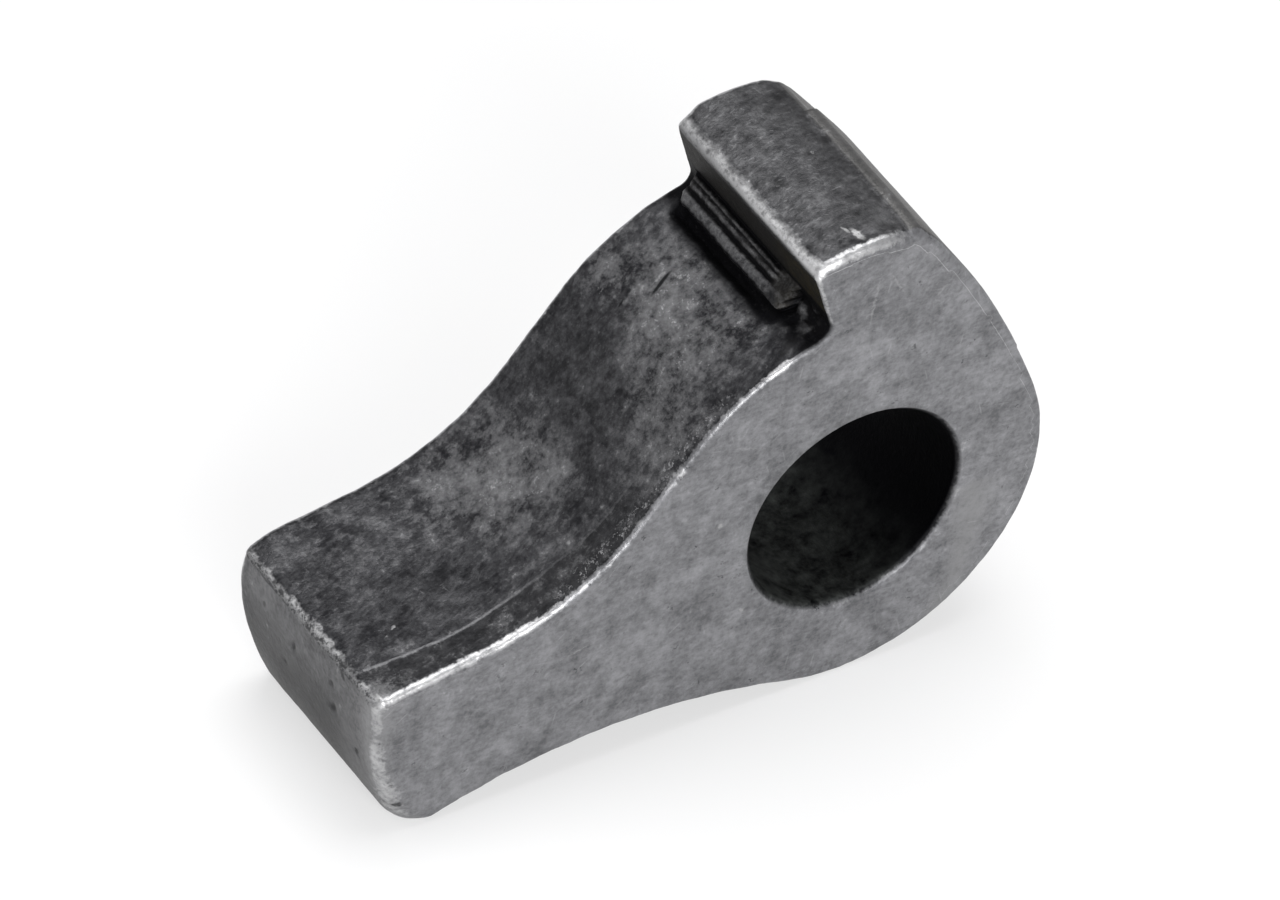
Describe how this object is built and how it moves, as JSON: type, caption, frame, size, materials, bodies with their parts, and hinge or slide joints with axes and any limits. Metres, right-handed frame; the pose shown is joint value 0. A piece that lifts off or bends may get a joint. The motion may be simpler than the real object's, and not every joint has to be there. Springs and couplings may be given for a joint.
{
  "type": "coupling pawl",
  "caption": "Steel coupling pawl: round hub with a through bore for a pivot pin, S-curved arm with a blunt tip, and a hooked tooth with an undercut root.",
  "frame": {"origin": "centre of the pivot bore, halfway through the thickness", "axes": "+Y along the pivot bore, from the face seen in the picture to the back; the arm's tip points towards -X and the tooth towards +Z; the hub and the heel of the tip stand on one level below"},
  "size_m": [0.0333, 0.0114, 0.0249],
  "materials": {
    "pawl_steel": "hardened steel, ground side faces in mid grey, dark tumbled working surfaces with bright worn edges"
  },
  "bodies": {
    "root": {"pawl": "pawl_steel"}
  },
  "joints": []
}
